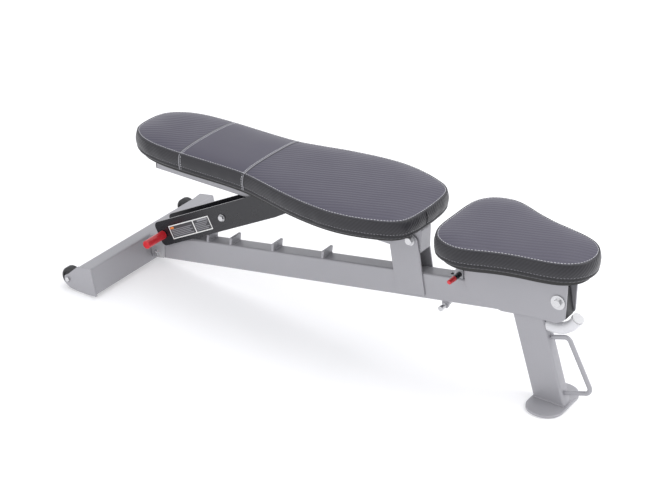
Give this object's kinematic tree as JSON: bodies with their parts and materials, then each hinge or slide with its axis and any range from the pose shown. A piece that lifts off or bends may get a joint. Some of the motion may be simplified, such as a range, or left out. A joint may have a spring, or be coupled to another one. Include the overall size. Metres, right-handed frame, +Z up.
{
  "type": "adjustable weight bench",
  "caption": "Flat-to-incline weight bench: hinged padded backrest on a ladder strut, tilting padded seat, sloping steel beam, transport wheels and lift handle.",
  "frame": {"origin": "floor level, at the middle of the bench's overall length and width", "axes": "+X along the bench towards the seat and front leg, +Y to the far side, +Z up; the seat's pull pin is on -Y"},
  "size_m": [1.501, 0.553, 0.445],
  "materials": {
    "silver_paint": "satin powder coat",
    "black_paint": "semi-gloss powder coat",
    "zinc": "bright zinc plate",
    "black_rubber": "matt",
    "wheel_rubber": "matt",
    "black_plastic": "fine grain",
    "white_paint": "gloss",
    "white_plastic": "gloss",
    "red_grip": "soft dipped vinyl",
    "charcoal_vinyl": "ribbed vinyl with grey stitching",
    "board": "black stained"
  },
  "bodies": {
    "frame": {"crossbar": "silver_paint", "end_plate_left": "silver_paint", "end_plate_right": "silver_paint", "wheel_bolts": "zinc", "rubber_foot_left": "black_rubber", "rubber_foot_right": "black_rubber", "main_beam": "silver_paint", "beam_end_cap": "black_plastic", "ladder_stops": "silver_paint", "saddle_left": "zinc", "saddle_right": "zinc", "saddle_bolts": "zinc", "post_plate_left": "silver_paint", "post_plate_right": "silver_paint", "post_web": "silver_paint", "post_rear_web": "silver_paint", "back_pivot_bolt": "zinc", "front_leg": "silver_paint", "foot_plate": "silver_paint", "foot_rubber": "black_rubber", "lift_handle": "silver_paint", "accessory_stub": "white_paint", "stub_cap": "white_plastic", "pin_ear": "silver_paint", "pin_sleeve": "black_paint", "seat_pivot_bolt": "zinc"},
    "wheel_left": {"wheel_left": "wheel_rubber"},
    "wheel_right": {"wheel_right": "wheel_rubber"},
    "backrest": {"back_pad": "charcoal_vinyl", "back_board": "board", "back_rail": "silver_paint", "rail_end_cap": "black_plastic", "back_ties": "silver_paint", "back_tie_bolts": "zinc", "strut_pivot_bolt": "zinc"},
    "strut": {"strut_plate_left": "black_paint", "strut_plate_right": "black_paint", "strut_rod": "black_paint", "strut_grip_left": "red_grip", "strut_grip_right": "red_grip", "strut_spacer": "black_paint", "strut_brace_bolt": "zinc"},
    "seat": {"seat_pad": "charcoal_vinyl", "seat_board": "board", "seat_bracket_top": "silver_paint", "seat_bracket_left": "silver_paint", "seat_bracket_right": "silver_paint", "seat_blade": "silver_paint", "seat_stop_bolt": "zinc"},
    "pull_pin": {"pull_pin": "zinc", "pull_pin_grip": "red_grip"}
  },
  "joints": [
    {"name": "back_tilt", "type": "hinge", "parent": "frame", "child": "backrest", "pos_m": [0.2327, 0, 0.34198], "axis": [0, 1, 0], "range_deg": [0, 63]},
    {"name": "strut_swing", "type": "hinge", "parent": "backrest", "child": "strut", "pos_m": [-0.15175, 0, 0.34198], "axis": [0, 1, 0], "range_deg": [-107.1, 0]},
    {"name": "seat_tilt", "type": "hinge", "parent": "frame", "child": "seat", "pos_m": [0.65545, 0, 0.304], "axis": [0, -1, 0], "range_deg": [0, 4]},
    {"name": "pin_pull", "type": "slide", "parent": "frame", "child": "pull_pin", "axis": [0, -1, 0], "range_m": [0, 0.008], "stiffness_N_per_m": 500, "springref_m": -0.01},
    {"name": "wheel_left_spin", "type": "hinge", "parent": "frame", "child": "wheel_left", "pos_m": [-0.72055, -0.2525, 0.033], "axis": [0, 1, 0], "continuous": true},
    {"name": "wheel_right_spin", "type": "hinge", "parent": "frame", "child": "wheel_right", "pos_m": [-0.72055, 0.2525, 0.033], "axis": [0, 1, 0], "continuous": true}
  ],
  "couplings": [
    {"joint": "strut_swing", "follows": "back_tilt", "ratio": -1.7}
  ]
}
